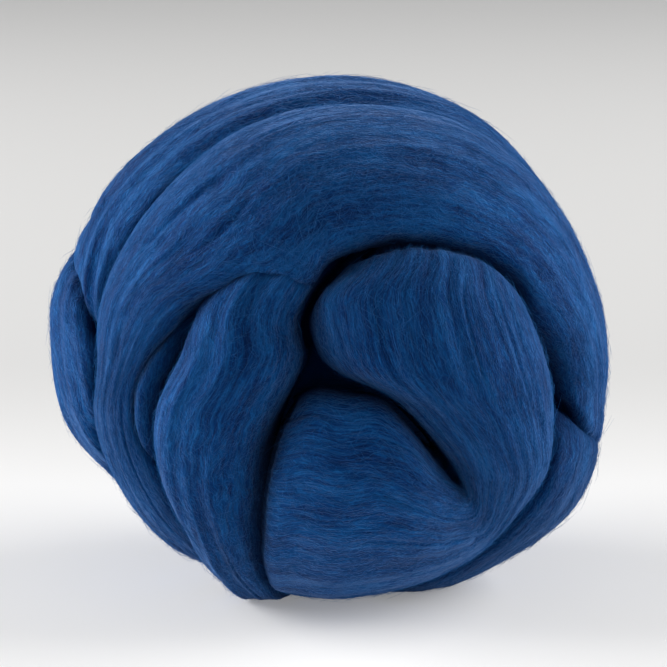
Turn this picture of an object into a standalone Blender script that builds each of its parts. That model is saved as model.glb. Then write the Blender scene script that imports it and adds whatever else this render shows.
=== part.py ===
"""A ball of combed wool roving, wound and tucked into itself and lying on its small flat spot.

The ball is one soft length of roving, so it is one closed solid. Each turn that shows is a flattened band
laid on the ball, worked out from a short table with a row for each section. The turns and the wound core
are fused, smoothed and cut flat where the ball rests. Metres, +Z up, the tucked knot faces -Y.
"""

import math
from collections import namedtuple

import bmesh
import bpy
from mathutils import Vector

MILLIMETRE = 0.001

# The ball's half sizes, square to the face that shows the tucked knot, and how far that face looks up.
HALF_WIDTH = 0.080
HALF_HEIGHT = 0.0765
HALF_DEPTH = 0.074
FACE_LEAN = math.radians(12)
# The ball's weight flattens it until its centre is this high.
CENTRE_HEIGHT = 0.0708
# The wound core that the turns lie on: how deep it starts, and its facets.
CORE_DEPTH = 0.0075
CORE_SEGMENTS = 96
CORE_RINGS = 48

# Sections from one row to the next, points around a section, and how boxy it is (2 is an ellipse).
SECTIONS_PER_ROW = 8
SECTION_POINTS = 64
SECTION_POWER = 2.1
# The soft lengthwise folds of a turn: their pitch, their height and how far they drift across it.
FOLD_PITCH = 0.0125
FOLD_HEIGHT = 0.0003
FOLD_HEIGHTS = {"knot_lobe": 0.0007, "rim_turn": 0.0006, "left_bulge": 0.0009}
FOLD_DRIFT = 1.3

# Fusing: the cell that the turns are fused on, the smoothing after it, and the faces that are kept.
FUSE_CELL = 0.0013
SMOOTH_ROUNDS = 6
SMOOTH_SHARE = 0.5
FACE_BUDGET = 10400
SHARP_ANGLE = math.radians(50)

WOOL_COLOUR = (0.004, 0.062, 0.235, 1.0)
WOOL_ROUGHNESS = 0.86

# One section of a turn. Angles in degrees: "clock" runs anticlockwise around the knot's face from the
# right, and "polar" from the middle of that face (0) over its rim (90) to the back (180). "In" is the edge
# nearer the knot's middle. In millimetres, "crown" is how high the section stands over the ball, "thick"
# its thickness, and "tilt" how much higher its outer edge lies than its inner edge.
Row = namedtuple("Row", "in_clock in_polar out_clock out_polar crown thick tilt", defaults=(0,))

TURNS = {
    # The broad outer turn: up the left side, over the knot and down the right side.
    "outer_turn": (
        Row(252, 84, 244, 112, -3, 14),
        Row(239, 66, 231, 96, 0, 18, 1),
        Row(221, 56, 213, 82, 0, 20),
        Row(203, 48, 199, 70, 1, 20),
        Row(187, 39, 189, 63, 1, 20),
        Row(170, 28, 171, 63, 1, 20),
        Row(148, 14, 150, 62, 1, 20, -1),
        Row(117, 12, 126, 61, 2, 20, -2),
        Row(92, 17, 104, 64, 2, 20, -3),
        Row(64, 22, 82, 69, 1, 20, -4),
        Row(41, 28, 60, 75, 1, 20, -4),
        Row(22, 38, 39, 80, -0.5, 20, -4),
        Row(6, 48, 20, 87, -2, 20, -3),
        Row(354, 60, 3, 94, -2, 20, -1),
        Row(345, 66, 347, 102, -0.5, 20),
        Row(334, 71, 334, 106, 2.5, 20),
        Row(320, 74, 320, 108, 0, 20),
        Row(306, 80, 307, 108, -7, 18),
        Row(294, 88, 295, 108, -14, 12),
    ),
    # The turn behind it, along the rim.
    "rim_turn": (
        Row(212, 56, 212, 90, -16, 12),
        Row(192, 50, 192, 84, -7, 16, 3),
        Row(174, 48, 170, 88, -2, 18, 8),
        Row(155, 46, 150, 94, -1, 20, 11),
        Row(130, 44, 132, 97, -2, 20, 11),
        Row(105, 45, 108, 98, -2.5, 20, 10),
        Row(80, 52, 82, 102, -3, 20, 9),
        Row(58, 61, 60, 108, -3, 20, 8),
        Row(36, 69, 38, 114, -5, 18, 4),
        Row(14, 77, 14, 122, -4, 18, 4),
        Row(354, 84, 352, 130, -3, 18, 3),
        Row(332, 95, 330, 134, -5, 18, 2),
        Row(312, 104, 312, 132, -13, 14),
    ),
    # The bulge that leaves the left silhouette.
    "left_bulge": (
        Row(140, 82, 128, 112, -14, 12),
        Row(158, 74, 150, 110, -3.5, 16),
        Row(172, 66, 168, 108, 3, 20),
        Row(186, 62, 184, 106, 2.5, 20),
        Row(200, 62, 199, 104, 2, 20),
        Row(213, 66, 212, 104, -2, 18),
        Row(228, 74, 228, 108, -7, 14),
        Row(242, 88, 244, 116, -14, 10),
    ),
    # The knot's right loop, which turns back around the hook crease and runs left along the bottom.
    "knot_loop": (
        Row(78, 36, 46, 54, -14, 16),
        Row(78, 22, 34, 48, -6, 22, -2),
        Row(93, 14, 20, 45, 0, 26, -1),
        Row(134, 10, 6, 45, 3, 28, 3),
        Row(234, 7, 349, 50, 4, 30, 8),
        Row(296, 14, 336, 57, 3, 30, 10),
        Row(307, 26, 325, 67, 3, 28, 6),
        Row(309, 35, 314, 72, 2, 28, 3),
        Row(309, 40, 302, 79, 2, 28, -1),
        Row(308, 33, 290, 84, 3, 28, -4),
        Row(308, 23, 280, 88, 4, 30, -7),
        Row(302, 16, 273, 91, 4, 30, -6),
        Row(276, 13, 268, 94, 4, 30, -6),
        Row(250, 13, 262, 95, 3, 29, -3),
        Row(236, 18, 258, 96, 2, 27, 4),
        Row(231, 22, 254, 97, -3, 22, 13),
        Row(228, 25, 250, 98, -9, 18, 20),
        Row(225, 28, 245, 99, -18, 14, 20),
    ),
    # The knot's left lobe.
    "knot_lobe": (
        Row(76, 28, 104, 42, -14, 14),
        Row(82, 21, 118, 36, -6, 18),
        Row(100, 14, 140, 32, -2, 20, -3),
        Row(156, 9, 164, 33, 0.5, 24, -1),
        Row(217, 9, 187, 34, 3.5, 28, 6),
        Row(234, 20, 202, 43, 4.5, 30, 7),
        Row(240, 31, 217, 52, 4.5, 30, 7),
        Row(248, 45, 234, 63, 5, 28, 5),
        Row(255, 61, 246, 82, 4, 24, 3),
        Row(261, 78, 256, 97, 4, 20, 2),
        Row(268, 92, 266, 112, -7, 12),
    ),
    # The narrow strip between the outer turn and the left lobe.
    "side_strip": (
        Row(146, 20, 158, 36, -12, 12),
        Row(164, 22, 167, 41, -5, 14, 2),
        Row(177, 28, 178, 47, -3, 18, 6),
        Row(190, 34, 189, 52, -2, 18, 7),
        Row(204, 41, 200, 56, -2, 18, 7),
        Row(216, 49, 209, 61, -3, 18, 6),
        Row(227, 57, 219, 68, -5, 16, 4),
        Row(238, 64, 230, 78, -7, 12, 2),
        Row(250, 80, 242, 92, -14, 10),
    ),
    # The shaded turn low on the right, under the loop.
    "low_right_turn": (
        Row(12, 62, 10, 98, -16, 14),
        Row(346, 62, 355, 102, -13, 18, 2),
        Row(340, 57, 347, 104, -5, 22, 4),
        Row(334, 54, 339, 105, 1.5, 24, 4),
        Row(326, 53, 328, 106, 5.2, 26, 2),
        Row(317, 56, 318, 108, 5.5, 26, 1),
        Row(303, 66, 306, 109, 3, 24),
        Row(288, 74, 290, 114, 3, 22),
        Row(270, 84, 272, 120, 2, 20),
        Row(252, 94, 254, 128, -2, 16),
        Row(236, 102, 238, 130, -12, 12),
    ),
    # The turns that cover the back: two along its rim, one across it, and two that it leaves in view.
    "back_rim_turn": (
        Row(238, 88, 226, 130, -10, 14),
        Row(216, 88, 206, 132, -4, 18, 3),
        Row(194, 86, 186, 132, -2, 18, 4),
        Row(170, 84, 162, 132, -2, 18, 4),
        Row(144, 82, 136, 132, -2, 18, 4),
        Row(116, 83, 110, 134, -2, 18, 4),
        Row(88, 86, 86, 138, -2, 18, 4),
        Row(62, 93, 64, 144, -2, 18, 4),
        Row(36, 100, 42, 150, -3, 18, 3),
        Row(12, 112, 20, 158, -8, 14),
    ),
    "back_cross_turn": (
        Row(20, 108, 60, 124, -12, 14),
        Row(10, 124, 56, 142, -3, 18),
        Row(350, 140, 72, 160, 0, 20),
        Row(300, 152, 150, 166, 2, 20),
        Row(262, 144, 186, 152, 2, 20),
        Row(246, 130, 202, 138, 1, 20),
        Row(240, 114, 212, 122, -2, 18),
        Row(236, 98, 218, 106, -12, 12),
    ),
    "back_low_turn": (
        Row(340, 98, 358, 132, -10, 14),
        Row(324, 100, 340, 142, -1, 18),
        Row(306, 102, 314, 152, 3, 22),
        Row(286, 102, 286, 158, 4, 24),
        Row(266, 102, 258, 154, 3, 22),
        Row(248, 100, 234, 146, 0, 18),
        Row(234, 96, 220, 134, -10, 14),
    ),
    "back_left_turn": (
        Row(98, 110, 136, 104, -16, 14),
        Row(100, 128, 140, 118, -8, 18),
        Row(112, 146, 150, 126, -1, 18),
        Row(150, 156, 172, 128, 0, 18),
        Row(192, 152, 190, 124, -3, 18),
        Row(214, 140, 204, 116, -12, 14),
    ),
    "back_right_turn": (
        Row(60, 108, 100, 110, -18, 14),
        Row(56, 126, 104, 128, -9, 18),
        Row(48, 144, 116, 146, -2, 18),
        Row(30, 158, 140, 158, -1, 18),
        Row(320, 164, 190, 158, -4, 18),
        Row(290, 152, 212, 146, -14, 14),
    ),
}


def clear_scene():
    """Remove whatever the file opened with."""
    for thing in list(bpy.data.objects):
        bpy.data.objects.remove(thing, do_unlink=True)


def on_unit_ball(clock, polar):
    """The direction of a clock and polar angle: right, up the face, and out of the face."""
    clock = math.radians(clock)
    polar = math.radians(polar)
    return Vector((math.sin(polar) * math.cos(clock), math.sin(polar) * math.sin(clock), math.cos(polar)))


def on_ball(direction, height):
    """The point of the leaning ball in a direction, a height over its surface."""
    right = direction.x * HALF_WIDTH
    up = direction.y * HALF_HEIGHT
    out = direction.z * HALF_DEPTH
    surface = Vector((
        right,
        up * math.sin(FACE_LEAN) - out * math.cos(FACE_LEAN),
        up * math.cos(FACE_LEAN) + out * math.sin(FACE_LEAN),
    ))
    return surface + surface.normalized() * height + Vector((0.0, 0.0, CENTRE_HEIGHT))


def through(before, start, end, after, share):
    """A smooth curve's value a share of the way from start to end, with the values on both sides."""
    bend = (start * 3 - before - end * 3 + after) * share ** 3
    lean = (before * 2 - start * 5 + end * 4 - after) * share ** 2
    slope = (end - before) * share
    return (bend + lean + slope + start * 2) * 0.5


def sections(rows):
    """The sections along a turn: inner and outer edge directions, and crown, thickness and tilt."""
    known = [(on_unit_ball(row.in_clock, row.in_polar), on_unit_ball(row.out_clock, row.out_polar),
              Vector((row.crown, row.thick, row.tilt)) * MILLIMETRE) for row in rows]
    last = len(known) - 1
    for step in range(last * SECTIONS_PER_ROW + 1):
        place = min(step // SECTIONS_PER_ROW, last - 1)
        share = step / SECTIONS_PER_ROW - place
        around = [known[min(max(place + offset, 0), last)] for offset in (-1, 0, 1, 2)]
        inner, outer, heights = (through(*values, share) for values in zip(*around))
        yield inner.normalized(), outer.normalized(), heights


def boxy(value):
    """Push a sine or cosine out towards a boxier section."""
    return math.copysign(abs(value) ** (2.0 / SECTION_POWER), value)


def fold(across, folds, along):
    """A turn's soft lengthwise folds, from -1 to 1, which fade out at its edges."""
    drift = FOLD_DRIFT * along
    waves = math.cos(math.tau * (folds * across + drift)) + math.cos(math.tau * (1.6 * folds * across - drift))
    return 0.5 * waves * math.sin(math.pi * across)


def add_turn(ball, rows, fold_height):
    """Loft one turn as a closed band with flattened, round-edged sections."""
    laid = list(sections(rows))
    widest = max((on_ball(inner, 0.0) - on_ball(outer, 0.0)).length for inner, outer, _ in laid)
    folds = widest / FOLD_PITCH
    rings = []
    for number, (inner, outer, heights) in enumerate(laid):
        ring = []
        for point in range(SECTION_POINTS):
            angle = math.tau * point / SECTION_POINTS
            across = 0.5 + 0.5 * boxy(math.cos(angle))
            height = heights.x - 0.5 * heights.y * (1.0 - boxy(math.sin(angle)))
            height += heights.z * (across - 0.5)
            if angle < math.pi:
                height += fold_height * fold(across, folds, number / len(laid))
            ring.append(ball.verts.new(on_ball(outer.lerp(inner, 1.0 - across).normalized(), height)))
        rings.append(ring)
    for ring, following in zip(rings, rings[1:]):
        for point in range(SECTION_POINTS):
            beside = (point + 1) % SECTION_POINTS
            ball.faces.new((ring[point], ring[beside], following[beside], following[point]))
    ends = [ball.faces.new(rings[0][::-1]), ball.faces.new(rings[-1])]
    bmesh.ops.triangulate(ball, faces=ends)


def add_core(ball):
    """The wound core that the turns lie on."""
    made = bmesh.ops.create_uvsphere(ball, u_segments=CORE_SEGMENTS, v_segments=CORE_RINGS, radius=1.0)
    for vertex in made["verts"]:
        vertex.co = on_ball(vertex.co.normalized(), -CORE_DEPTH)


def shown_mesh(thing):
    """A new mesh of the shape that an object's modifiers make."""
    depsgraph = bpy.context.evaluated_depsgraph_get()
    return bpy.data.meshes.new_from_object(thing.evaluated_get(depsgraph), depsgraph=depsgraph)


def fused_turns():
    """The core and all turns, fused into one skin on a fine grid."""
    shape = bmesh.new()
    add_core(shape)
    for name, rows in TURNS.items():
        add_turn(shape, rows, FOLD_HEIGHTS.get(name, FOLD_HEIGHT))
    mesh = bpy.data.meshes.new("turns")
    shape.to_mesh(mesh)
    shape.free()
    turns = bpy.data.objects.new("turns_guide", mesh)
    bpy.context.scene.collection.objects.link(turns)
    fuse = turns.modifiers.new("fuse", "REMESH")
    fuse.mode = "VOXEL"
    fuse.voxel_size = FUSE_CELL
    smooth = turns.modifiers.new("smooth", "SMOOTH")
    smooth.factor = SMOOTH_SHARE
    smooth.iterations = SMOOTH_ROUNDS
    fused = shown_mesh(turns)
    bpy.data.objects.remove(turns, do_unlink=True)
    return fused


def skins(shape):
    """The closed skins of a shape, each as a set of its vertices."""
    left = set(shape.verts)
    while left:
        skin = set()
        front = [left.pop()]
        while front:
            vertex = front.pop()
            skin.add(vertex)
            beside = {edge.other_vert(vertex) for edge in vertex.link_edges} & left
            left -= beside
            front.extend(beside)
        yield skin


def keep_outer_skin(mesh):
    """Drop every skin but the largest, so that no hollow stays sealed inside."""
    shape = bmesh.new()
    shape.from_mesh(mesh)
    outer = max(skins(shape), key=len)
    inside = [vertex for vertex in shape.verts if vertex not in outer]
    bmesh.ops.delete(shape, geom=inside, context="VERTS")
    shape.to_mesh(mesh)
    shape.free()


def thinned(mesh):
    """The same skin with no more faces than its form needs."""
    ball = bpy.data.objects.new("ball_guide", mesh)
    bpy.context.scene.collection.objects.link(ball)
    thin = ball.modifiers.new("thin", "DECIMATE")
    thin.ratio = FACE_BUDGET / sum(len(face.vertices) - 2 for face in mesh.polygons)
    thin.use_collapse_triangulate = True
    skin = shown_mesh(ball)
    bpy.data.objects.remove(ball, do_unlink=True)
    return skin


def rest_flat(mesh):
    """Cut the ball flat where it rests, and stand it over the origin by its bounding box."""
    shape = bmesh.new()
    shape.from_mesh(mesh)
    cut = bmesh.ops.bisect_plane(shape, geom=shape.verts[:] + shape.edges[:] + shape.faces[:],
                                 dist=0.00001, plane_co=(0.0, 0.0, 0.0), plane_no=(0.0, 0.0, 1.0),
                                 clear_inner=True)
    rim = [part for part in cut["geom_cut"] if isinstance(part, bmesh.types.BMEdge)]
    flat = bmesh.ops.contextual_create(shape, geom=rim)["faces"]
    bmesh.ops.triangulate(shape, faces=flat)
    for axis in (0, 1):
        places = [vertex.co[axis] for vertex in shape.verts]
        middle = 0.5 * (min(places) + max(places))
        for vertex in shape.verts:
            vertex.co[axis] -= middle
    shape.to_mesh(mesh)
    shape.free()


def wool():
    """Matt blue wool."""
    material = bpy.data.materials.new("blue_wool")
    material.use_nodes = True
    finish = material.node_tree.nodes["Principled BSDF"]
    finish.inputs["Base Color"].default_value = WOOL_COLOUR
    finish.inputs["Roughness"].default_value = WOOL_ROUGHNESS
    finish.inputs["Metallic"].default_value = 0.0
    material.diffuse_color = WOOL_COLOUR
    return material


def main():
    clear_scene()
    fused = fused_turns()
    keep_outer_skin(fused)
    mesh = thinned(fused)
    rest_flat(mesh)
    keep_outer_skin(mesh)
    mesh.name = "roving_ball"
    mesh.materials.clear()
    mesh.materials.append(wool())
    mesh.shade_smooth()
    mesh.set_sharp_from_angle(angle=SHARP_ANGLE)
    ball = bpy.data.objects.new("roving_ball", mesh)
    bpy.context.scene.collection.objects.link(ball)


main()
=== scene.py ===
"""A ball of combed wool roving, dressed for its picture.

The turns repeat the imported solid's own table and formulas, with the fine ridges of the wool pressed into
them. Modelled fibres lie along them, stray across them and stand off them as fuzz and wisps. Metres, +Z up,
the tucked knot faces -Y.
"""

import math
from collections import namedtuple

import bpy
import numpy as np
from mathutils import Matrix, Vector
from mathutils.bvhtree import BVHTree


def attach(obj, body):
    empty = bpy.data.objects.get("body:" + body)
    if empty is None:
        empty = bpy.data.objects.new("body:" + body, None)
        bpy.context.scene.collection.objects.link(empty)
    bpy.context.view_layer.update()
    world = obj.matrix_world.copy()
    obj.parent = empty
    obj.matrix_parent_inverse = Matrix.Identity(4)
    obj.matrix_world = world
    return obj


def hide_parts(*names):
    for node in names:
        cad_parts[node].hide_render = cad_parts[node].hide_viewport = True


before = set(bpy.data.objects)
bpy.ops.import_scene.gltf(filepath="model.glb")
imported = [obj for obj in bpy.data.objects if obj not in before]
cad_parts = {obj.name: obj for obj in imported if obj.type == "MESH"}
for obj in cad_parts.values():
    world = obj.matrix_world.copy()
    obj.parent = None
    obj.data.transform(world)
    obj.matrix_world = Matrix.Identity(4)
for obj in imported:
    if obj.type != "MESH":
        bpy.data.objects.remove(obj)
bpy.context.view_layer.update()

MILLIMETRE = 0.001
SQUARE_CENTIMETRES = 1e4

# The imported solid's own measures: half sizes, the lean of the knot's face, and the height of the centre.
# Only the core lies deeper, so that the hollows between the turns look dark.
HALF_WIDTH = 0.080
HALF_HEIGHT = 0.0765
HALF_DEPTH = 0.074
FACE_LEAN = math.radians(12)
CENTRE_HEIGHT = 0.0708
CORE_DEPTH = 0.0180
SECTIONS_PER_ROW = 8
SECTION_POWER = 2.1
# A turn's soft lengthwise folds: their pitch, height and drift, and how many of a closer second row there
# are to each of the first.
FOLD_PITCH = 0.0125
FOLD_HEIGHT = 0.0003
FOLD_HEIGHTS = {"knot_lobe": 0.0007, "rim_turn": 0.0006, "left_bulge": 0.0009}
FOLD_DRIFT = 1.3
SECOND_FOLDS = 1.6

# The grid of a turn: the step along it, the step across it, how far down its sides that goes, the points
# underneath, and the samples that measure a section's outline.
FINE_SECTIONS_PER_ROW = 48
ALONG_STEP = 0.0021
ACROSS_STEP = 0.00065
SIDE_ANGLE = 0.9
UNDER_POINTS = 10
SECTION_SAMPLES = 4001
# The grid of the wound core under the turns: rings from side to side, points around, and the end angle.
CORE_ROWS = 48
CORE_POINTS = 96
CORE_END = math.radians(3)
# How softly the ball's weight rounds off where it meets the surface.
REST_SOFTNESS = 0.0015

# Fine lengthwise ridges: their pitch, length and height, and how narrow the grooves between them are.
Ridge = namedtuple("Ridge", "pitch length height sharpness")
RIDGES = (
    Ridge(0.0085, 0.060, 0.00016, 1.0),
    Ridge(0.0036, 0.024, 0.00022, 0.9),
    Ridge(0.0016, 0.010, 0.00013, 0.9),
)
# Here and there the wool parts along a deeper, narrow split. Splits come in patches: their size across, and
# how quickly they begin.
SPLIT = Ridge(0.0090, 0.055, 0.0006, 0.09)
SPLIT_PATCH = 0.030
PATCH_START = 2.0
# The crest of a ridge is the highest of this many points to either side.
CREST_REACH = 5
# Turns whose locks stand out more than the others', and by how much.
LOCK_STRENGTHS = {"knot_lobe": 2.2, "rim_turn": 1.3}
# Where another turn crosses it, a turn is pressed in: how deep, which turns less, and how far out that
# reaches.
PRESS_DEPTH = 0.0024
PRESS_DEPTHS = {"knot_lobe": 0.0006}
PRESS_REACH = 0.0034
# How far the ridges wander across a turn, and over what lengths.
WANDER = 0.0028
WANDER_ACROSS = 0.016
WANDER_ALONG = 0.055
NOISE_CELLS = 128
# Where the random draws of each turn's ridges, splits and fibres start.
RIDGE_SEED = 100
SPLIT_SEED = 11
PATCH_SEED = 12
FIBRE_SEED = 7000
# Ridges fade where a section turns under: the sine of the section angle where they start, and their run.
RIDGE_START = -0.30
RIDGE_RUN = 0.40

# Loose fibres. Lengths, radii, lifts over the wool, slant and bow in millimetres; count for a square
# centimetre of shown wool.
Fibre = namedtuple("Fibre", "kind per_area shortest longest radius points root middle tip slant bow")
FIBRES = (
    Fibre("laid", 1.6, 12, 36, 0.045, 7, -0.25, 0.14, -0.25, 3.0, 0.9),
    Fibre("stray", 4.2, 4, 14, 0.038, 5, -0.15, 0.45, -0.10, 6.0, 2.4),
    Fibre("fuzz", 15.5, 2, 7, 0.032, 3, -0.20, 0.50, 1.30, 3.0, 1.4),
    Fibre("wisp", 0.90, 7, 18, 0.034, 7, -0.20, 0.70, 0.80, 4.0, 2.2),
)
# A wisp leaves the wool's surface in a straight sweep, and so crosses the hollows beside it.
WISP_CURL = 0.50
# The waves of a fibre's bow over its length, and the least share of its kind's lift that a fibre has.
BOW_WAVES = 0.8
LEAST_RISE = 0.25
# A fibre's sides, how thin it gets towards its ends, and the length of its points in radii.
FIBRE_SIDES = 3
FIBRE_TIP = 0.35
POINT_LENGTH = 3.0
# The places of a fibre in its UV map: the share of a field for each of its points, and the share of the
# field that it fills.
POINT_FIELD = 0.06
FIELD_FILL = 0.9
# The places of a turn in its UV maps: how far the turns lie apart in the wool's pattern, the share of the
# other map for the grid, and the size and places of its two end caps.
PATTERN_STEP = 0.3
GRID_SHARE = 0.97
CAP_RADIUS = 0.012
CAP_PLACES = ((0.25, 0.986), (0.75, 0.986))
# A turn's wool is shown where nothing lies within this far outside it, tested on every few grid points.
TEST_STRIDE = 3
TEST_LIFT = 0.0009
TEST_REACH = 0.016
# How openly the wool lies, which sets how much shade is painted on it in the hollows: the lean and number
# of the lines of sight around each tested point, their reach, and how softly the result is spread.
SIGHT_LEAN = math.radians(66)
SIGHT_LINES = 8
SIGHT_REACH = 0.036
OPEN_BLUR = 0.0026
BLUR_SPAN = 2.5
# Turns painted darker as shade for lying under others around them, and the share of their openness that is
# left.
PAINTED_SHADE_TURNS = {"low_right_turn": 0.74, "rim_turn": 0.94}

# One section of a turn. Angles in degrees: "clock" runs anticlockwise around the knot's face from the
# right, and "polar" from the middle of that face (0) over its rim (90) to the back (180). "In" is the edge
# nearer the knot's middle. In millimetres, "crown" is how high the section stands over the ball, "thick"
# its thickness, and "tilt" how much higher its outer edge lies than its inner edge.
Row = namedtuple("Row", "in_clock in_polar out_clock out_polar crown thick tilt", defaults=(0,))

TURNS = {
    # The broad outer turn: up the left side, over the knot and down the right side.
    "outer_turn": (
        Row(252, 84, 244, 112, -3, 14),
        Row(239, 66, 231, 96, 0, 18, 1),
        Row(221, 56, 213, 82, 0, 20),
        Row(203, 48, 199, 70, 1, 20),
        Row(187, 39, 189, 63, 1, 20),
        Row(170, 28, 171, 63, 1, 20),
        Row(148, 14, 150, 62, 1, 20, -1),
        Row(117, 12, 126, 61, 2, 20, -2),
        Row(92, 17, 104, 64, 2, 20, -3),
        Row(64, 22, 82, 69, 1, 20, -4),
        Row(41, 28, 60, 75, 1, 20, -4),
        Row(22, 38, 39, 80, -0.5, 20, -4),
        Row(6, 48, 20, 87, -2, 20, -3),
        Row(354, 60, 3, 94, -2, 20, -1),
        Row(345, 66, 347, 102, -0.5, 20),
        Row(334, 71, 334, 106, 2.5, 20),
        Row(320, 74, 320, 108, 0, 20),
        Row(306, 80, 307, 108, -7, 18),
        Row(294, 88, 295, 108, -14, 12),
    ),
    # The turn behind it, along the rim.
    "rim_turn": (
        Row(212, 56, 212, 90, -16, 12),
        Row(192, 50, 192, 84, -7, 16, 3),
        Row(174, 48, 170, 88, -2, 18, 8),
        Row(155, 46, 150, 94, -1, 20, 11),
        Row(130, 44, 132, 97, -2, 20, 11),
        Row(105, 45, 108, 98, -2.5, 20, 10),
        Row(80, 52, 82, 102, -3, 20, 9),
        Row(58, 61, 60, 108, -3, 20, 8),
        Row(36, 69, 38, 114, -5, 18, 4),
        Row(14, 77, 14, 122, -4, 18, 4),
        Row(354, 84, 352, 130, -3, 18, 3),
        Row(332, 95, 330, 134, -5, 18, 2),
        Row(312, 104, 312, 132, -13, 14),
    ),
    # The bulge that leaves the left silhouette.
    "left_bulge": (
        Row(140, 82, 128, 112, -14, 12),
        Row(158, 74, 150, 110, -3.5, 16),
        Row(172, 66, 168, 108, 3, 20),
        Row(186, 62, 184, 106, 2.5, 20),
        Row(200, 62, 199, 104, 2, 20),
        Row(213, 66, 212, 104, -2, 18),
        Row(228, 74, 228, 108, -7, 14),
        Row(242, 88, 244, 116, -14, 10),
    ),
    # The knot's right loop, which turns back around the hook crease and runs left along the bottom.
    "knot_loop": (
        Row(78, 36, 46, 54, -14, 16),
        Row(78, 22, 34, 48, -6, 22, -2),
        Row(93, 14, 20, 45, 0, 26, -1),
        Row(134, 10, 6, 45, 3, 28, 3),
        Row(234, 7, 349, 50, 4, 30, 8),
        Row(296, 14, 336, 57, 3, 30, 10),
        Row(307, 26, 325, 67, 3, 28, 6),
        Row(309, 35, 314, 72, 2, 28, 3),
        Row(309, 40, 302, 79, 2, 28, -1),
        Row(308, 33, 290, 84, 3, 28, -4),
        Row(308, 23, 280, 88, 4, 30, -7),
        Row(302, 16, 273, 91, 4, 30, -6),
        Row(276, 13, 268, 94, 4, 30, -6),
        Row(250, 13, 262, 95, 3, 29, -3),
        Row(236, 18, 258, 96, 2, 27, 4),
        Row(231, 22, 254, 97, -3, 22, 13),
        Row(228, 25, 250, 98, -9, 18, 20),
        Row(225, 28, 245, 99, -18, 14, 20),
    ),
    # The knot's left lobe.
    "knot_lobe": (
        Row(76, 28, 104, 42, -14, 14),
        Row(82, 21, 118, 36, -6, 18),
        Row(100, 14, 140, 32, -2, 20, -3),
        Row(156, 9, 164, 33, 0.5, 24, -1),
        Row(217, 9, 187, 34, 3.5, 28, 6),
        Row(234, 20, 202, 43, 4.5, 30, 7),
        Row(240, 31, 217, 52, 4.5, 30, 7),
        Row(248, 45, 234, 63, 5, 28, 5),
        Row(255, 61, 246, 82, 4, 24, 3),
        Row(261, 78, 256, 97, 4, 20, 2),
        Row(268, 92, 266, 112, -7, 12),
    ),
    # The narrow strip between the outer turn and the left lobe.
    "side_strip": (
        Row(146, 20, 158, 36, -12, 12),
        Row(164, 22, 167, 41, -5, 14, 2),
        Row(177, 28, 178, 47, -3, 18, 6),
        Row(190, 34, 189, 52, -2, 18, 7),
        Row(204, 41, 200, 56, -2, 18, 7),
        Row(216, 49, 209, 61, -3, 18, 6),
        Row(227, 57, 219, 68, -5, 16, 4),
        Row(238, 64, 230, 78, -7, 12, 2),
        Row(250, 80, 242, 92, -14, 10),
    ),
    # The shaded turn low on the right, under the loop.
    "low_right_turn": (
        Row(12, 62, 10, 98, -16, 14),
        Row(346, 62, 355, 102, -13, 18, 2),
        Row(340, 57, 347, 104, -5, 22, 4),
        Row(334, 54, 339, 105, 1.5, 24, 4),
        Row(326, 53, 328, 106, 5.2, 26, 2),
        Row(317, 56, 318, 108, 5.5, 26, 1),
        Row(303, 66, 306, 109, 3, 24),
        Row(288, 74, 290, 114, 3, 22),
        Row(270, 84, 272, 120, 2, 20),
        Row(252, 94, 254, 128, -2, 16),
        Row(236, 102, 238, 130, -12, 12),
    ),
    # The turns that cover the back: two along its rim, one across it, and two that it leaves in view.
    "back_rim_turn": (
        Row(238, 88, 226, 130, -10, 14),
        Row(216, 88, 206, 132, -4, 18, 3),
        Row(194, 86, 186, 132, -2, 18, 4),
        Row(170, 84, 162, 132, -2, 18, 4),
        Row(144, 82, 136, 132, -2, 18, 4),
        Row(116, 83, 110, 134, -2, 18, 4),
        Row(88, 86, 86, 138, -2, 18, 4),
        Row(62, 93, 64, 144, -2, 18, 4),
        Row(36, 100, 42, 150, -3, 18, 3),
        Row(12, 112, 20, 158, -8, 14),
    ),
    "back_cross_turn": (
        Row(20, 108, 60, 124, -12, 14),
        Row(10, 124, 56, 142, -3, 18),
        Row(350, 140, 72, 160, 0, 20),
        Row(300, 152, 150, 166, 2, 20),
        Row(262, 144, 186, 152, 2, 20),
        Row(246, 130, 202, 138, 1, 20),
        Row(240, 114, 212, 122, -2, 18),
        Row(236, 98, 218, 106, -12, 12),
    ),
    "back_low_turn": (
        Row(340, 98, 358, 132, -10, 14),
        Row(324, 100, 340, 142, -1, 18),
        Row(306, 102, 314, 152, 3, 22),
        Row(286, 102, 286, 158, 4, 24),
        Row(266, 102, 258, 154, 3, 22),
        Row(248, 100, 234, 146, 0, 18),
        Row(234, 96, 220, 134, -10, 14),
    ),
    "back_left_turn": (
        Row(98, 110, 136, 104, -16, 14),
        Row(100, 128, 140, 118, -8, 18),
        Row(112, 146, 150, 126, -1, 18),
        Row(150, 156, 172, 128, 0, 18),
        Row(192, 152, 190, 124, -3, 18),
        Row(214, 140, 204, 116, -12, 14),
    ),
    "back_right_turn": (
        Row(60, 108, 100, 110, -18, 14),
        Row(56, 126, 104, 128, -9, 18),
        Row(48, 144, 116, 146, -2, 18),
        Row(30, 158, 140, 158, -1, 18),
        Row(320, 164, 190, 158, -4, 18),
        Row(290, 152, 212, 146, -14, 14),
    ),
}


def directions(clock, polar):
    """The directions of clock and polar angles: right, up the face, and out of the face."""
    clock = np.radians(clock)
    polar = np.radians(polar)
    return np.stack((np.sin(polar) * np.cos(clock), np.sin(polar) * np.sin(clock), np.cos(polar)), axis=-1)


def unit(vectors):
    """The same directions, one long."""
    return vectors / np.linalg.norm(vectors, axis=-1, keepdims=True)


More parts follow.
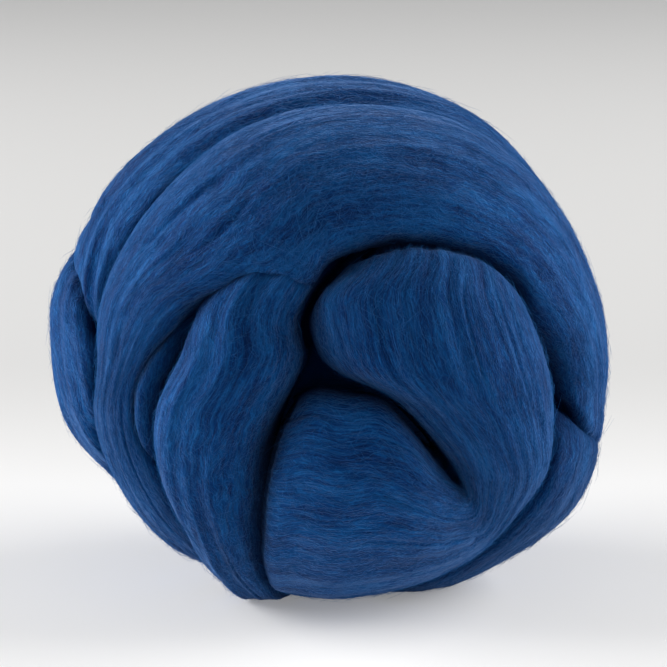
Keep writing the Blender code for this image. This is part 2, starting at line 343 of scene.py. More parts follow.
def on_ball(direction, height):
    """The points of the leaning ball in these directions, a height over its surface."""
    right = direction[..., 0] * HALF_WIDTH
    up = direction[..., 1] * HALF_HEIGHT
    out = direction[..., 2] * HALF_DEPTH
    surface = np.stack((
        right,
        up * math.sin(FACE_LEAN) - out * math.cos(FACE_LEAN),
        up * math.cos(FACE_LEAN) + out * math.sin(FACE_LEAN),
    ), axis=-1)
    return surface + unit(surface) * np.asarray(height)[..., None] + (0.0, 0.0, CENTRE_HEIGHT)


def summed(steps):
    """The distances from the first of a row of points, from the steps between them."""
    return np.concatenate(((0.0,), np.cumsum(steps)))


def travelled(points):
    """The distance along a line of points, from its first."""
    return summed(np.linalg.norm(np.diff(points, axis=0), axis=-1))


def through(known, steps):
    """A smooth curve through rows of values, with a number of steps from one row to the next."""
    last = len(known) - 1
    step = np.arange(last * steps + 1)
    place = np.minimum(step // steps, last - 1)
    share = (step / steps - place)[:, None]
    before, start, end, after = (known[np.clip(place + offset, 0, last)] for offset in (-1, 0, 1, 2))
    bend = (start * 3 - before - end * 3 + after) * share ** 3
    lean = (before * 2 - start * 5 + end * 4 - after) * share ** 2
    return (bend + lean + (end - before) * share + start * 2) * 0.5


def boxy(values):
    """Push sines or cosines out towards a boxier section."""
    return np.copysign(np.abs(values) ** (2.0 / SECTION_POWER), values)


def fold(across, folds, along):
    """A turn's soft lengthwise folds, from -1 to 1, which fade out at its edges."""
    drift = FOLD_DRIFT * along
    first = np.cos(math.tau * (folds * across + drift))
    second = np.cos(math.tau * (SECOND_FOLDS * folds * across - drift))
    return 0.5 * (first + second) * np.sin(math.pi * across)


def smooth_noise(across, along, seed):
    """Soft random values from -1 to 1, one cell for each unit."""
    cells = np.random.default_rng(seed).uniform(-1.0, 1.0, (NOISE_CELLS, NOISE_CELLS))
    column = np.floor(across).astype(int)
    row = np.floor(along).astype(int)
    right = across - column
    up = along - row
    right = right * right * (3.0 - 2.0 * right)
    up = up * up * (3.0 - 2.0 * up)
    corner = [[cells[(row + j) % NOISE_CELLS, (column + i) % NOISE_CELLS] for i in (0, 1)] for j in (0, 1)]
    low = corner[0][0] * (1.0 - right) + corner[0][1] * right
    high = corner[1][0] * (1.0 - right) + corner[1][1] * right
    return low * (1.0 - up) + high * up


def ridge_height(across, along, seed):
    """The height of the wool's fine lengthwise ridges, rounded on top with narrow grooves between them."""
    wander = WANDER * smooth_noise(across / WANDER_ACROSS, along / WANDER_ALONG, seed)
    height = 0.0
    for number, ridge in enumerate(RIDGES):
        swell = smooth_noise((across + wander) / ridge.pitch, along / ridge.length, seed + number + 1)
        height = height + ridge.height * (np.abs(swell) ** ridge.sharpness - 0.5)
    swell = smooth_noise((across + wander) / SPLIT.pitch, along / SPLIT.length, seed + SPLIT_SEED)
    patch = smooth_noise(across / SPLIT_PATCH, along / SPLIT.length, seed + PATCH_SEED)
    patch = np.clip(PATCH_START * patch, 0.0, 1.0)
    return height - SPLIT.height * patch * np.exp(-(swell / SPLIT.sharpness) ** 2)


def outward(places):
    """The directions square to a grid of points whose columns close into rings."""
    along = np.gradient(places, axis=0)
    around = np.roll(places, -1, axis=1) - np.roll(places, 1, axis=1)
    return unit(np.cross(around, along) + 1e-12)


def section_points(width, thick):
    """Angles around a turn's section and their distances around it, fine above and coarse below."""
    angles = np.linspace(-SIDE_ANGLE, math.tau - SIDE_ANGLE, SECTION_SAMPLES)
    outline = np.stack((0.5 * width * boxy(np.cos(angles)), 0.5 * thick * boxy(np.sin(angles))), axis=-1)
    distance = travelled(outline)
    side = np.interp(math.pi + SIDE_ANGLE, angles, distance)
    fine = np.linspace(0.0, side, round(side / ACROSS_STEP) + 1)
    coarse = np.linspace(side, distance[-1], UNDER_POINTS + 2)[1:]
    around = np.concatenate((fine, coarse))
    return np.interp(around[:-1], distance, angles), around, len(fine)


# A grid of wool: its piece's name, its smooth points, distances around (with the one that closes the ring)
# and along, how many points lie close together, which of them lie above, and how much ridges show there.
Wool = namedtuple("Wool", "name smooth around along fine above fade")
# The same wool with its ridges: the ridged points, the directions out of them, and the ridges' crests.
Ridged = namedtuple("Ridged", "places out crest")


def ridged_wool(wool, smooth, seed):
    """Press the fine ridges into a smooth grid of wool."""
    out = outward(smooth)
    height = ridge_height(wool.around[None, :-1], wool.along[:, None], seed) * wool.fade
    height = height * LOCK_STRENGTHS.get(wool.name, 1.0)
    crest = height
    for step in range(-CREST_REACH, CREST_REACH + 1):
        crest = np.maximum(crest, np.roll(height, step, axis=1))
    return Ridged(smooth + out * height[..., None], out, crest)


def wound_turn(name, rows):
    """One turn of the roving as a grid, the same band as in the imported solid."""
    table = np.array(rows, float)
    known = np.concatenate((
        directions(table[:, 0], table[:, 1]),
        directions(table[:, 2], table[:, 3]),
        table[:, 4:] * MILLIMETRE,
    ), axis=1)
    coarse = through(known, SECTIONS_PER_ROW)
    widest = np.linalg.norm(on_ball(unit(coarse[:, :3]), np.zeros(len(coarse)))
                            - on_ball(unit(coarse[:, 3:6]), np.zeros(len(coarse))), axis=-1).max()
    fine = through(known, FINE_SECTIONS_PER_ROW)
    fine[:, :3] = unit(fine[:, :3])
    fine[:, 3:6] = unit(fine[:, 3:6])
    edges = [on_ball(fine[:, first:first + 3], fine[:, 6]) for first in (0, 3)]
    steps = np.max([np.linalg.norm(np.diff(edge, axis=0), axis=-1) for edge in edges], axis=0)
    distance = summed(steps)
    along = np.linspace(0.0, distance[-1], round(distance[-1] / ALONG_STEP) + 1)
    even = np.stack([np.interp(along, distance, column) for column in fine.T], axis=1)
    progress = np.interp(along, distance, np.arange(len(fine)) / len(fine))
    inner = even[:, None, :3]
    outer = even[:, None, 3:6]
    crown, thick, tilt = (even[:, column, None] for column in (6, 7, 8))
    angles, around, fine_points = section_points(widest, thick.mean())
    across = 0.5 + 0.5 * boxy(np.cos(angles))
    height = crown - 0.5 * thick * (1.0 - boxy(np.sin(angles))) + tilt * (across - 0.5)
    above = np.sin(angles) > 0.0
    folds = fold(across, widest / FOLD_PITCH, progress[:, None]) * FOLD_HEIGHTS.get(name, FOLD_HEIGHT)
    height = height + np.where(above, folds, 0.0)
    smooth = on_ball(unit(outer * across[:, None] + inner * (1.0 - across)[:, None]), height)
    fade = np.clip((np.sin(angles) - RIDGE_START) / RIDGE_RUN, 0.0, 1.0)
    if (outward(smooth) * (smooth - (0.0, 0.0, CENTRE_HEIGHT))).sum() < 0.0:
        smooth = smooth[::-1]
    return Wool(name, smooth, around, along, fine_points, above, fade)


def wound_core():
    """The wound core under the turns, as a grid from its left end to its right end."""
    end = np.linspace(CORE_END, math.pi - CORE_END, CORE_ROWS)[:, None]
    turn = (np.arange(CORE_POINTS) * math.tau / CORE_POINTS)[None, :]
    direction = np.stack((
        -np.cos(end) + 0.0 * turn,
        np.sin(end) * np.cos(turn),
        np.sin(end) * np.sin(turn),
    ), axis=-1)
    smooth = on_ball(direction, np.full(direction.shape[:2], -CORE_DEPTH))
    around = np.linspace(0.0, math.tau * HALF_HEIGHT, CORE_POINTS + 1)
    along = np.linspace(0.0, math.pi * HALF_WIDTH, CORE_ROWS)
    above = np.full(CORE_POINTS, True)
    return Wool("wound_core", smooth, around, along, CORE_POINTS, above, np.sin(end) ** 0.5)


def settled(places, shift):
    """Move points over the origin, and press them up where they would be under the surface."""
    moved = places - shift
    low = moved[..., 2]
    moved[..., 2] = 0.5 * (low + np.sqrt(low * low + REST_SOFTNESS * REST_SOFTNESS))
    return moved


def filled_uv(mesh, name, values):
    """A named UV map with these values, one for each corner."""
    layer = mesh.uv_layers.new(name=name)
    layer.data.foreach_set("uv", np.ascontiguousarray(values, dtype=np.float32).ravel())


def note_openness(mesh, values):
    """Keep how openly each point of a mesh lies, for its material, which paints shade where it lies deep.
    """
    mesh.attributes.new("openness", "FLOAT", "POINT").data.foreach_set("value", values.astype(np.float32))


def shown_piece(name, mesh, material):
    """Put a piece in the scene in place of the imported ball, and let it ride with the ball."""
    mesh.materials.append(material)
    mesh.shade_smooth()
    piece = bpy.data.objects.new(name, mesh)
    bpy.context.scene.collection.objects.link(piece)
    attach(piece, "root")
    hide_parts("roving_ball")
    return piece


def grid_faces(rows, points):
    """Four-cornered faces between the rings of a grid, facing out."""
    index = np.arange(rows * points).reshape(rows, points)
    beside = np.roll(index, -1, axis=1)
    return np.stack((index[:-1], beside[:-1], beside[1:], index[1:]), axis=-1).reshape(-1, 4), index


def wool_piece(wool, places, clear, material, number):
    """The closed piece of a grid of wool."""
    rows, points = places.shape[:2]
    quads, index = grid_faces(rows, points)
    mesh = bpy.data.meshes.new(wool.name)
    ends = [index[0, ::-1].tolist(), index[-1].tolist()]
    mesh.from_pydata(places.reshape(-1, 3).tolist(), [], quads.tolist() + ends)
    column = np.arange(points)
    across = np.stack((column, column + 1, column + 1, column), axis=-1)[None].repeat(rows - 1, axis=0)
    row = np.arange(rows - 1)
    up = np.stack((row, row, row + 1, row + 1), axis=-1)[:, None].repeat(points, axis=1)
    strand = np.stack((wool.around[across] + PATTERN_STEP * number, wool.along[up]), axis=-1).reshape(-1, 2)
    baked = np.stack((across / points, GRID_SHARE * up / (rows - 1)), axis=-1).reshape(-1, 2)
    turn = math.tau * column / points
    disc = np.stack((CAP_RADIUS * np.cos(turn), CAP_RADIUS * np.sin(turn)), axis=-1)
    caps = np.concatenate([disc + place for place in CAP_PLACES])
    filled_uv(mesh, "strand", np.concatenate((strand, caps)))
    filled_uv(mesh, "OFBake", np.concatenate((baked, caps)))
    row, point = np.meshgrid(np.arange(rows), np.arange(points), indexing="ij")
    openly = at_points(clear, row, np.minimum(point, wool.fine - 1))
    # Points under a turn get no openness, so they are painted in full shade.
    note_openness(mesh, np.where(point < wool.fine, openly, 0.0).ravel())
    return shown_piece(wool.name, mesh, material)


def seen(wool, cover):
    """Where wool covers a turn (1 or 0), and how openly it lies (0 to 1), on every few points across."""
    out = outward(wool.smooth)
    side = unit(np.cross(out, np.gradient(wool.smooth, axis=0)) + 1e-12)
    along = np.cross(side, out)
    middle = Vector((0.0, 0.0, CENTRE_HEIGHT))
    points = range(0, wool.fine, TEST_STRIDE)
    found = np.zeros((wool.smooth.shape[0], len(points)))
    clear = np.ones(found.shape)
    turn = (np.arange(SIGHT_LINES) * math.tau / SIGHT_LINES)[:, None, None]
    for column, point in enumerate(points):
        spread = np.cos(turn) * side[:, point] + np.sin(turn) * along[:, point]
        sights = math.cos(SIGHT_LEAN) * out[:, point] + math.sin(SIGHT_LEAN) * spread
        for row, place in enumerate(wool.smooth[:, point]):
            start = Vector(place + out[row, point] * TEST_LIFT)
            straight_out = (Vector(place) - middle).normalized()
            found[row, column] = cover.ray_cast(start, straight_out, TEST_REACH)[0] is not None
            stops = [cover.ray_cast(start, Vector(sight), SIGHT_REACH)[3] for sight in sights[:, row]]
            reached = sum(SIGHT_REACH if stop is None else stop for stop in stops)
            clear[row, column] = reached / SIGHT_REACH / SIGHT_LINES
    return found, clear


def blurred(values, reach, axis):
    """Values spread softly along one axis, over a reach in grid steps."""
    span = math.ceil(BLUR_SPAN * reach)
    steps = np.arange(-span, span + 1)
    weights = np.exp(-0.5 * (steps / reach) ** 2)
    size = values.shape[axis]
    total = 0.0
    for step, weight in zip(steps, weights / weights.sum()):
        total = total + weight * np.take(values, np.clip(np.arange(size) + step, 0, size - 1), axis=axis)
    return total


def pressed(wool, found):
    """A turn's smooth grid, pressed in beside whatever covers it."""
    near = blurred(found * wool.above[:wool.fine:TEST_STRIDE], PRESS_REACH / ALONG_STEP, 0)
    near = blurred(near, PRESS_REACH / (ACROSS_STEP * TEST_STRIDE), 1)
    # Right beside the cover, where it fills half of the reach, the turn is pressed in all the way.
    near = np.clip(2.0 * near, 0.0, 1.0)
    depth = PRESS_DEPTHS.get(wool.name, PRESS_DEPTH) * near * near * (3.0 - 2.0 * near)
    row, point = np.meshgrid(np.arange(wool.smooth.shape[0]), np.arange(wool.fine), indexing="ij")
    out = outward(wool.smooth)
    shape = wool.smooth.copy()
    shape[:, :wool.fine] -= out[:, :wool.fine] * at_points(depth, row, point)[..., None]
    return shape


def at_points(tested, row, point):
    """Values of a tested grid, which has only every few points across, at places on the full grid."""
    return sampled(tested, row, np.minimum(point / TEST_STRIDE, tested.shape[1] - 1))


def sampled(grid, row, point):
    """Values of a grid between its points."""
    low_row = np.clip(np.floor(row).astype(int), 0, grid.shape[0] - 2)
    low_point = np.clip(np.floor(point).astype(int), 0, grid.shape[1] - 2)
    up = row - low_row
    right = point - low_point
    if grid.ndim == 3:
        up = up[..., None]
        right = right[..., None]
    near = grid[low_row, low_point] * (1.0 - right) + grid[low_row, low_point + 1] * right
    far = grid[low_row + 1, low_point] * (1.0 - right) + grid[low_row + 1, low_point + 1] * right
    return near * (1.0 - up) + far * up


def fibre_lines(wool, shape, cells, clear, fibre, draw):
    """One kind of fibre on a turn.

    Gives their centre lines, the directions out of the wool, their radii, and how openly they lie.
    """
    cell = TEST_STRIDE * ALONG_STEP * ACROSS_STEP * SQUARE_CENTIMETRES
    count = max(1, round(fibre.per_area * len(cells) * cell))
    start = cells[draw.integers(len(cells), size=count)]
    start = start + draw.uniform(0.0, 1.0, (count, 2)) * (1, TEST_STRIDE)
    share = np.linspace(0.0, 1.0, fibre.points)
    way = draw.choice((-1.0, 1.0), (count, 1))
    length = draw.uniform(fibre.shortest, fibre.longest, (count, 1)) * MILLIMETRE * way
    slant = draw.normal(0.0, fibre.slant, (count, 1)) * MILLIMETRE
    bow = draw.normal(0.0, fibre.bow, (count, 1)) * MILLIMETRE
    phase = draw.uniform(0.0, 1.0, (count, 1))
    row = start[:, :1] + (share - 0.5) * length / ALONG_STEP
    side = slant * (share - 0.5) + bow * np.sin(math.tau * (BOW_WAVES * share + phase))
    point = start[:, 1:] + side / ACROSS_STEP
    row = np.clip(row, 0, wool.smooth.shape[0] - 1)
    point = np.clip(point, 0, wool.fine - 1)
    rise = draw.uniform(LEAST_RISE, 1.0, (count, 1)) * MILLIMETRE
    # The lift follows one curve through its values at the root, in the middle and at the tip.
    lift = fibre.root * MILLIMETRE * (2.0 * share - 1.0) * (share - 1.0)
    lift = lift + fibre.middle * rise * 4.0 * share * (1.0 - share)
    lift = lift + fibre.tip * rise * share * (2.0 * share - 1.0)
    out = unit(sampled(shape.out, row, point))
    line = sampled(shape.places, row, point)
    if fibre.kind == "wisp":
        root = line[:, :1]
        way_out = unit(line[:, 1:2] - root)
        grown = np.linalg.norm(np.diff(line, axis=1), axis=-1).sum(axis=1)
        reach = grown[:, None, None] * share[:, None]
        out = np.repeat(out[:, :1], fibre.points, axis=1)
        line = (root + way_out * reach) * (1.0 - WISP_CURL) + line * WISP_CURL
    elif fibre.kind != "laid":
        line = line + out * sampled(shape.crest, row, point)[..., None]
    line = line + out * lift[..., None]
    radius = fibre.radius * MILLIMETRE * (1.0 - (1.0 - FIBRE_TIP) * np.abs(2.0 * share - 1.0) ** 3)
    return line, out, radius[None].repeat(count, axis=0), at_points(clear, row, point)


def fibre_rings(line, out, radius):
    """Closed, thin, pointed tubes along centre lines: their points, for each fibre in turn."""
    along = unit(np.gradient(line, axis=1) + 1e-9)
    side = unit(np.cross(along, out) + 1e-9)
    up = np.cross(side, along)
    turn = math.tau * np.arange(FIBRE_SIDES) / FIBRE_SIDES
    ring = up[:, :, None] * np.cos(turn)[:, None] + side[:, :, None] * np.sin(turn)[:, None]
    rings = line[:, :, None] + ring * radius[:, :, None, None]
    count, points = line.shape[:2]
    reach = POINT_LENGTH * radius[:, :1]
    tips = np.stack((line[:, 0] - along[:, 0] * reach, line[:, -1] + along[:, -1] * reach), axis=1)
    return np.concatenate((rings.reshape(count, points * FIBRE_SIDES, 3), tips), axis=1)


def fibre_pattern(points):
    """The faces of one fibre and the place of their corners in its own small field of the UV map."""
    faces = []
    corners = []
    first = points * FIBRE_SIDES
    last = first + 1
    for side in range(FIBRE_SIDES):
        beside = (side + 1) % FIBRE_SIDES
        left = side / FIBRE_SIDES
        right = (side + 1) / FIBRE_SIDES
        middle = 0.5 * (left + right)
        faces.append((first, beside, side))
        corners.append(((middle, 0.0), (right, POINT_FIELD), (left, POINT_FIELD)))
        for ring in range(points - 1):
            low = ring * FIBRE_SIDES
            high = low + FIBRE_SIDES
            under, over = (POINT_FIELD + (1.0 - 2.0 * POINT_FIELD) * place / (points - 1)
                           for place in (ring, ring + 1))
            faces.append((low + side, low + beside, high + beside))
            corners.append(((left, under), (right, under), (right, over)))
            faces.append((low + side, high + beside, high + side))
            corners.append(((left, under), (right, over), (left, over)))
        top = (points - 1) * FIBRE_SIDES
        faces.append((top + side, top + beside, last))
        corners.append(((left, 1.0 - POINT_FIELD), (right, 1.0 - POINT_FIELD), (middle, 1.0)))
    return np.array(faces), np.array(corners)


def fibre_piece(wool, shape, cells, clear, material, shift, seed):
    """All loose fibres of a turn, as one piece."""
    draw = np.random.default_rng(seed)
    places = []
    faces = []
    fields = []
    strands = []
    openings = []
    known = 0
    grown = 0
    for fibre in FIBRES:
        line, out, radius, openly = fibre_lines(wool, shape, cells, clear, fibre, draw)
        rings = fibre_rings(line, out, radius)
        openly = np.concatenate((openly.repeat(FIBRE_SIDES, axis=1), openly[:, :1], openly[:, -1:]), axis=1)
        openings.append(openly.ravel())
        count, each = rings.shape[:2]
        pattern, corners = fibre_pattern(fibre.points)
        offset = known + each * np.arange(count)[:, None, None]
        places.append(rings.reshape(-1, 3))
        faces.append((pattern[None] + offset).reshape(-1, 3))
        fields.append((np.arange(count) + grown, corners))
        tint = draw.uniform(0.0, 2.0, (count, 1, 2))
        strands.append(tint.repeat(pattern.size, axis=1).reshape(-1, 2))
        known += count * each
        grown += count
    across = math.ceil(math.sqrt(grown))
    baked = []
    for number, corners in fields:
        corner = np.stack((number % across, number // across), axis=-1)[:, None, None] + 0.5
        baked.append(((corner + FIELD_FILL * (corners[None] - 0.5)) / across).reshape(-1, 2))
    mesh = bpy.data.meshes.new(wool.name + "_fibres")
    mesh.from_pydata(settled(np.concatenate(places), shift).tolist(), [], np.concatenate(faces).tolist())
    filled_uv(mesh, "strand", np.concatenate(strands))
    filled_uv(mesh, "OFBake", np.concatenate(baked))
    note_openness(mesh, np.concatenate(openings))
    return shown_piece(wool.name + "_fibres", mesh, material)


class Socket:
    """A shader socket that takes part in arithmetic. Each operator adds one Math node."""

    def __init__(self, finish, output):
        self.finish = finish
        self.output = output

    def __add__(self, other):
        return self.finish.maths("ADD", self, other)

    def __mul__(self, other):
        return self.finish.maths("MULTIPLY", self, other)

    def __sub__(self, other):
        return self.finish.maths("SUBTRACT", self, other)

    def __rsub__(self, other):
        return self.finish.maths("SUBTRACT", other, self)

    __radd__ = __add__
    __rmul__ = __mul__


class Finish:
    """A material's nodes."""

    def __init__(self, name):
        self.material = bpy.data.materials.new(name)
        self.material.use_nodes = True
        self.tree = self.material.node_tree
        self.shader = self.tree.nodes["Principled BSDF"]

    def plug(self, socket, value):
        """Link a socket to another one, or set its value."""
        if isinstance(value, Socket):
            self.tree.links.new(value.output, socket)
        else:
            socket.default_value = value

    def add(self, kind, settings, sockets, output=0):
        """Add a node: its settings first, a ramp's stops among them, then its sockets' values or links."""
        node = self.tree.nodes.new(kind)
        for name, value in settings.items():
            if name == "stops":
                self.set_stops(node.color_ramp, value)
            else:
                setattr(node, name, value)
        for name, value in sockets.items():
            self.plug(node.inputs[name], value)
        return Socket(self, node.outputs[output])

    def set_stops(self, ramp, stops):
        """Give a colour ramp its stops: places and colours."""
        while len(ramp.elements) < len(stops):
            ramp.elements.new(1.0)
        for element, (place, colour) in zip(ramp.elements, stops):
            element.position = place
            element.color = (*colour, 1.0)

    def maths(self, operation, first, second):
        """A Math node of two values."""
        return self.add("ShaderNodeMath", {"operation": operation}, {0: first, 1: second})

    def finish_with(self, **sockets):
        """Set or link sockets of the shader itself."""
        for name, value in sockets.items():
            self.plug(self.shader.inputs[name.replace("_", " ")], value)
        return self.material


# Linear colours of the wool: the painted shade deep between turns, from the shade between fibres to the
# lightest fibres, and its sheen.
PAINTED_HOLLOW_SHADE = (0.0004, 0.0035, 0.020)
WOOL_DEEP = (0.0007, 0.0155, 0.080)
WOOL_DARK = (0.0010, 0.0265, 0.120)
WOOL_MID = (0.0016, 0.0410, 0.164)
WOOL_LIGHT = (0.0032, 0.063, 0.222)
WOOL_PALE = (0.0090, 0.094, 0.295)
FIBRE_PALE = (0.0220, 0.120, 0.330)
WOOL_SHEEN = (0.30, 0.51, 1.0, 1.0)
# Where each of those tones stands, for the turns and for the loose fibres.
TURN_TONES = ((0.38, WOOL_DEEP), (0.45, WOOL_DARK), (0.52, WOOL_MID), (0.60, WOOL_LIGHT), (0.71, WOOL_PALE))
FIBRE_TONES = ((0.30, WOOL_LIGHT), (0.45, WOOL_PALE), (0.66, FIBRE_PALE))
# How the wool gleams: its mirror part, and the weight and spread of its sheen.
Gleam = namedtuple("Gleam", "mirror sheen spread")
TURN_GLEAM = Gleam(0.05, 0.52, 0.38)
FIBRE_GLEAM = Gleam(0.05, 0.2, 0.3)
TURN_ROUGHNESS = 0.94
LOCK_SMOOTHNESS = 0.16
FIBRE_ROUGHNESS = 0.8
# How openly wool lies where the painted shade in the hollows is full, and where that painted shade ends and
# the wool shows all its colour.
PAINTED_SHADE_FULL, PAINTED_SHADE_GONE = 0.34, 0.97
# Streaks of tone along the wool: millimetres across and along.
HAIR_STREAK = (0.32, 6.0)
LOCK_STREAK = (1.3, 16.0)
BROAD_STREAK = (8.0, 40.0)
FIBRE_STREAK = (40.0, 40.0)
STREAK_ROUGHNESS = 0.55
# The share of each in the wool's tone, and in its low relief of this strength and depth.
HAIR_TONE, LOCK_TONE, BROAD_TONE, STRAND_TONE = 0.36, 0.34, 0.30, 0.13
HAIR_RELIEF, LOCK_RELIEF, STRAND_RELIEF = 0.5, 0.2, 0.45
RELIEF_STRENGTH = 0.8
RELIEF_DEPTH = 0.00040
# Everything along the wool sways from side to side: over what length, and how far, in metres.
WAVE_LENGTH = 0.0100
WAVE_SWAY = 0.0024
# Wavy single fibres drawn over it: millimetres across and along, slant in degrees, and their width in the
# pattern. The two kinds that slant most show less.
Strand = namedtuple("Strand", "across along slant width")
STRANDS = (
    Strand(1.3, 8.0, 5, 0.026),
    Strand(1.5, 7.0, -11, 0.026),
    Strand(2.0, 6.0, 24, 0.024),
    Strand(2.4, 6.0, -34, 0.024),
)
SLANTED_SHOW = 0.8


def strand_places(finish, size, slant=0.0):
    """Places along and across the wool, in units of a size in millimetres, turned by a slant in degrees."""
    strand = finish.add("ShaderNodeUVMap", {"uv_map": "strand"}, {})
    wave = finish.add("ShaderNodeTexNoise", {"noise_dimensions": "2D"},
                      {"Vector": strand, "Scale": 1.0 / WAVE_LENGTH, "Detail": 1.0}, "Color")
    strand = finish.add("ShaderNodeVectorMath", {"operation": "MULTIPLY_ADD"},
                        {0: wave, 1: (WAVE_SWAY, 0.0, 0.0), 2: strand})
    if slant:
        strand = finish.add("ShaderNodeVectorRotate", {"rotation_type": "Z_AXIS"},
                            {"Vector": strand, "Angle": math.radians(slant)})
    scale = (1.0 / (size[0] * MILLIMETRE), 1.0 / (size[1] * MILLIMETRE), 1.0)
    return finish.add("ShaderNodeVectorMath", {"operation": "MULTIPLY"}, {0: strand, 1: scale})


def streaks(finish, size, detail, slant=0.0):
    """Soft stripes along the wool, from their size across and along in millimetres."""
    return finish.add("ShaderNodeTexNoise", {"noise_dimensions": "2D"}, {
        "Vector": strand_places(finish, size, slant), "Scale": 1.0, "Detail": detail,
        "Roughness": STREAK_ROUGHNESS})


def drawn_strands(finish, strand):
    """Thin wavy lines, 1 along a fibre and 0 beside it, where a stretched pattern has its middle value."""
    pattern = streaks(finish, (strand.across, strand.along), 1.0, strand.slant)
    away = finish.maths("ABSOLUTE", pattern - 0.5, 0.0)
    return finish.maths("MAXIMUM", 1.0 - (1.0 / strand.width) * away, 0.0)


def paint_hollow_shade(finish):
    """Paint shade into a material where the wool lies deep between turns: a dark, matte shader without
    sheen is mixed in by each point's openness.
    """
    openness = finish.add("ShaderNodeAttribute", {"attribute_name": "openness"}, {}, "Fac")
    lit = finish.add("ShaderNodeMapRange", {"interpolation_type": "SMOOTHSTEP"},
                     {"Value": openness, "From Min": PAINTED_SHADE_FULL, "From Max": PAINTED_SHADE_GONE})
    # The painted shade: a dark, matte shader without sheen, mixed in where the wool lies deep.
    deep = finish.add("ShaderNodeBsdfPrincipled", {}, {
        "Base Color": (*PAINTED_HOLLOW_SHADE, 1.0), "Roughness": 1.0, "Specular IOR Level": 0.0})
    wool = Socket(finish, finish.shader.outputs[0])
    whole = finish.add("ShaderNodeMixShader", {}, {0: lit, 1: deep, 2: wool})
    finish.plug(finish.tree.nodes["Material Output"].inputs["Surface"], whole)


def gleam_of(gleam):
    """The shader's values for how wool gleams."""
    return {"Specular_IOR_Level": gleam.mirror, "Sheen_Weight": gleam.sheen,
            "Sheen_Roughness": gleam.spread, "Sheen_Tint": WOOL_SHEEN}


def combed_wool():
    """The wool of the turns: fine stripes of blue, softly rough, with a low relief of single fibres."""
    finish = Finish("combed_wool")
    hair = streaks(finish, HAIR_STREAK, 2.0)
    lock = streaks(finish, LOCK_STREAK, 2.0)
    broad = streaks(finish, BROAD_STREAK, 1.0)
    drawn = [drawn_strands(finish, strand) for strand in STRANDS]
    lengthwise = finish.maths("MAXIMUM", drawn[0], drawn[1])
    slanted = SLANTED_SHOW * finish.maths("MAXIMUM", drawn[2], drawn[3])
    strands = finish.maths("MAXIMUM", lengthwise, slanted)
    tone = HAIR_TONE * hair + LOCK_TONE * lock + BROAD_TONE * broad + STRAND_TONE * strands
    colour = finish.add("ShaderNodeValToRGB", {"stops": TURN_TONES}, {"Fac": tone})
    relief = finish.add("ShaderNodeBump", {}, {
        "Strength": RELIEF_STRENGTH, "Distance": RELIEF_DEPTH,
        "Height": HAIR_RELIEF * hair + LOCK_RELIEF * lock + STRAND_RELIEF * strands})
    paint_hollow_shade(finish)
    return finish.finish_with(Base_Color=colour, Roughness=TURN_ROUGHNESS - LOCK_SMOOTHNESS * lock,
                              Normal=relief, **gleam_of(TURN_GLEAM))


def loose_fibre():
    """The wool of loose fibres: each fibre has its own tone, a little lighter than the turns."""
    finish = Finish("loose_fibre")
    tone = streaks(finish, FIBRE_STREAK, 2.0)
    colour = finish.add("ShaderNodeValToRGB", {"stops": FIBRE_TONES}, {"Fac": tone})
    paint_hollow_shade(finish)
    return finish.finish_with(Base_Color=colour, Roughness=FIBRE_ROUGHNESS, **gleam_of(FIBRE_GLEAM))


def ball_cover(wools, everywhere):
    """All the wool of the ball in one search tree, for lines of sight."""
    faces = []
    known = 0
    for wool in wools:
        quads, _ = grid_faces(*wool.smooth.shape[:2])
        faces.extend((quads + known).tolist())
        known += wool.smooth.shape[0] * wool.smooth.shape[1]
    return BVHTree.FromPolygons(everywhere.tolist(), faces)


def dress_ball():
    """Make the turns, the core and the loose fibres."""
    wools = [wound_turn(name, rows) for name, rows in TURNS.items()] + [wound_core()]
    everywhere = np.concatenate([wool.smooth.reshape(-1, 3) for wool in wools])
    standing = everywhere[everywhere[:, 2] >= 0.0]
    shift = 0.5 * (standing.min(axis=0) + standing.max(axis=0)) * (1.0, 1.0, 0.0)
    cover = ball_cover(wools, everywhere)
    combed = combed_wool()
    loose = loose_fibre()
    for number, wool in enumerate(wools, 1):
        found, clear = seen(wool, cover)
        clear = blurred(clear, OPEN_BLUR / ALONG_STEP, 0)
        clear = blurred(clear, OPEN_BLUR / (ACROSS_STEP * TEST_STRIDE), 1)
        # Turns that lie under others get more painted shade.
        clear = clear * PAINTED_SHADE_TURNS.get(wool.name, 1.0)
        if wool.name in TURNS:
            shape = ridged_wool(wool, pressed(wool, found), RIDGE_SEED * number)
            cells = np.argwhere(found < 0.5) * (1.0, TEST_STRIDE)
            fibre_piece(wool, shape, cells, clear, loose, shift, FIBRE_SEED + number)
        else:
            shape = ridged_wool(wool, wool.smooth, RIDGE_SEED * number)
        wool_piece(wool, settled(shape.places, shift), clear, combed, number)


# The picture's camera: how far it looks down, its distance from the ball's middle, and its lens.
CAMERA_DOWN = math.radians(12)
CAMERA_DISTANCE = 0.8
CAMERA_TARGET = Vector((0.0016, 0.0, 0.0715))
SENSOR = 36.0
FOCAL_PIXELS = 2761.0
PICTURE_PIXELS = 667.0
NEAREST_SIGHT = 0.01


def aimed(thing, place, target):
    """Put a lamp or the camera at a place, looking at a target."""
    bpy.context.scene.collection.objects.link(thing)
    thing.location = place
    thing.rotation_euler = (target - place).to_track_quat("-Z", "Y").to_euler()
    return thing


def set_camera():
    """The camera at the picture's viewing angle."""
    lens = bpy.data.cameras.new("picture_camera")
    lens.sensor_width = SENSOR
    lens.lens = SENSOR * FOCAL_PIXELS / PICTURE_PIXELS
    lens.clip_start = NEAREST_SIGHT
    back = Vector((0.0, -math.cos(CAMERA_DOWN), math.sin(CAMERA_DOWN)))
    camera = aimed(bpy.data.objects.new("picture_camera", lens), CAMERA_TARGET + back * CAMERA_DISTANCE,
                   CAMERA_TARGET)
    bpy.context.scene.camera = camera


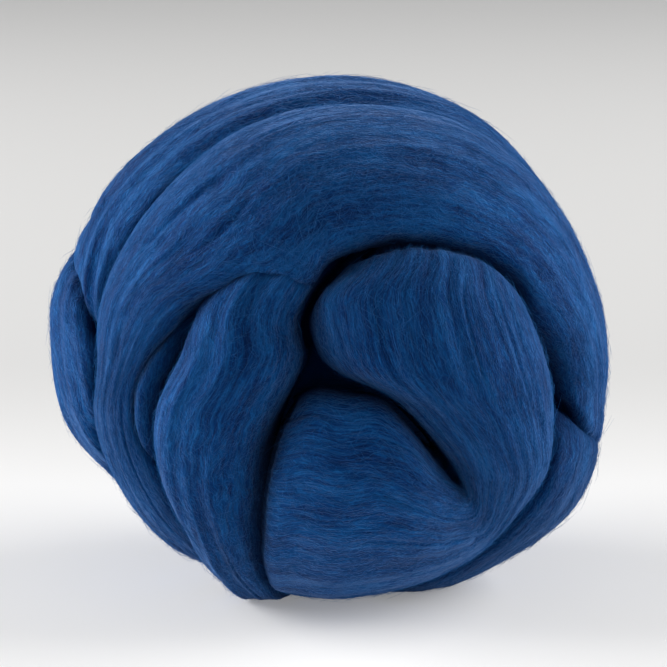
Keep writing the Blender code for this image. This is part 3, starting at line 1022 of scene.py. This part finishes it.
# Soft lamps: place, size, watts and colour, and where they point.
Lamp = namedtuple("Lamp", "name place size watts colour")
LAMPS = (
    Lamp("left_window", (-1.8, 0.40, 0.52), 1.6, 93.0, (1.0, 0.99, 0.97)),
    Lamp("right_window", (1.8, 0.45, 0.75), 1.6, 72.0, (1.0, 0.99, 0.97)),
)
LAMP_TARGET = Vector((0.0, 0.0, 0.05))
# The floor's profile from its middle: distances out and heights. It turns up softly far from the ball.
FLOOR_PROFILE = ((3.4, 0.0), (4.2, 0.06), (5.0, 0.32), (5.6, 0.85), (5.9, 1.6), (6.0, 3.2))
FLOOR_SIDES = 96
FLOOR_NEAR = (0.69, 0.69, 0.695)
FLOOR_FAR = (0.38, 0.38, 0.381)
# From how far behind the ball to how far the floor is painted greyer: painted shade that takes back the
# lamps' stronger light on the far floor.
FLOOR_TURN = (-0.10, 0.30)
# The floor glows, though it is no lamp: painted light that keeps the ball's shadow on it faint and lights
# the ball from below.
FLOOR_PAINTED_GLOW = 0.22
FLOOR_PAINTED_GLOW_COLOUR = (1.0, 1.0, 1.0, 1.0)
WORLD_COLOUR = (0.86, 0.87, 0.88, 1.0)
WORLD_STRENGTH = 0.17


def set_light():
    """Plain soft studio light."""
    for lamp in LAMPS:
        light = bpy.data.lights.new(lamp.name, "AREA")
        light.size = lamp.size
        light.energy = lamp.watts
        light.color = lamp.colour
        aimed(bpy.data.objects.new(lamp.name, light), Vector(lamp.place), LAMP_TARGET)
    world = bpy.data.worlds.new("pale_room")
    bpy.context.scene.world = world
    world.use_nodes = True
    background = world.node_tree.nodes["Background"]
    background.inputs["Color"].default_value = WORLD_COLOUR
    background.inputs["Strength"].default_value = WORLD_STRENGTH


def lay_floor():
    """The plain pale floor that the ball rests on."""
    finish = Finish("pale_floor")
    mesh = bpy.data.meshes.new("floor")
    turn = math.tau * np.arange(FLOOR_SIDES) / FLOOR_SIDES
    rings = [np.stack((out * np.cos(turn), out * np.sin(turn), np.full(FLOOR_SIDES, height)), axis=-1)
             for out, height in FLOOR_PROFILE]
    quads, index = grid_faces(len(rings), FLOOR_SIDES)
    mesh.from_pydata(np.concatenate(rings).tolist(), [], [index[0].tolist()] + quads[:, ::-1].tolist())
    mesh.shade_smooth()
    place = finish.add("ShaderNodeTexCoord", {}, {}, "Object")
    behind = finish.add("ShaderNodeSeparateXYZ", {}, {"Vector": place}, "Y")
    share = finish.add("ShaderNodeMapRange", {"interpolation_type": "SMOOTHSTEP"},
                       {"Value": behind, "From Min": FLOOR_TURN[0], "From Max": FLOOR_TURN[1]})
    shades = ((0.0, FLOOR_NEAR), (1.0, FLOOR_FAR))
    tone = finish.add("ShaderNodeValToRGB", {"stops": shades}, {"Fac": share})
    mesh.materials.append(finish.finish_with(
        Base_Color=tone, Roughness=1.0, Specular_IOR_Level=0.0, Emission_Color=FLOOR_PAINTED_GLOW_COLOUR,
        Emission_Strength=FLOOR_PAINTED_GLOW))
    floor = bpy.data.objects.new("floor", mesh)
    bpy.context.scene.collection.objects.link(floor)


dress_ball()
set_camera()
set_light()
lay_floor()
bpy.context.scene.view_settings.view_transform = "Standard"
